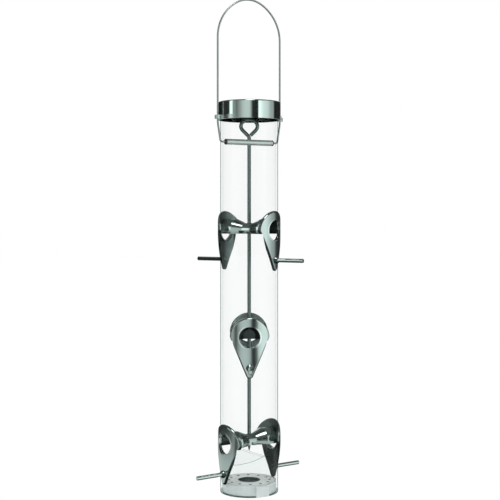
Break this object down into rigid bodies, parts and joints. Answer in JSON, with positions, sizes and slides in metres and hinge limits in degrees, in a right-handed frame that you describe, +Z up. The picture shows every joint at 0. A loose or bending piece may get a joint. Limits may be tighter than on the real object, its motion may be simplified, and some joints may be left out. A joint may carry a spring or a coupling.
{
  "type": "hanging tube bird feeder",
  "caption": "Hanging bird feeder: clear seed tube with metal feeding ports and perches, a cap that slides up a wire bail, and a pull rod that locks the ports.",
  "frame": {"origin": "the hang point, where a hook touches the underside of the bail at its top", "axes": "+Z up along the tube, +X along the crossbar and in the bail's plane"},
  "size_m": [0.1358, 0.1232, 0.5412],
  "materials": {
    "clear_tube": "clear, glossy, thin wall",
    "clear_base": "clear moulded plastic",
    "hazy_base": "hazy moulded plastic, see-through but not clear",
    "cap_steel": "polished stainless steel",
    "strap_steel": "bright strip steel",
    "wire_steel": "bright steel wire",
    "bar_aluminium": "drawn aluminium tube",
    "bush_plastic": "dark moulded plastic",
    "rod_steel": "bright drawn steel rod",
    "port_metal": "polished die-cast metal",
    "perch_steel": "bright drawn steel rod",
    "socket_steel": "dark bright steel"
  },
  "bodies": {
    "bail": {"bail": "wire_steel"},
    "cap": {"cap": "cap_steel", "cap_guide_front": "strap_steel", "cap_guide_rear": "strap_steel"},
    "tube": {"feed_tube": "clear_tube", "crossbar": "bar_aluminium", "crossbar_bushes": "bush_plastic", "lower_port_front": "port_metal", "lower_port_rear": "port_metal", "middle_port_front": "port_metal", "middle_port_rear": "port_metal", "upper_port_front": "port_metal", "upper_port_rear": "port_metal", "lower_perch_front": "perch_steel", "lower_perch_rear": "perch_steel", "middle_perch_front": "perch_steel", "middle_perch_rear": "perch_steel", "upper_perch_front": "perch_steel", "upper_perch_rear": "perch_steel", "base_cup": "hazy_base", "pole_socket": "socket_steel", "seed_diverter": "clear_base"},
    "rod": {"pull_rod": "rod_steel"}
  },
  "joints": [
    {"name": "tube_swing", "type": "hinge", "parent": "bail", "child": "tube", "pos_m": [0, 0, -0.15602], "axis": [1, 0, 0], "range_deg": [-2.5, 2.5]},
    {"name": "cap_lift", "type": "slide", "parent": "bail", "child": "cap", "axis": [0, 0, 1], "range_m": [0, 0.075]},
    {"name": "rod_lift", "type": "slide", "parent": "tube", "child": "rod", "axis": [0, 0, 1], "range_m": [0, 0.012]}
  ]
}
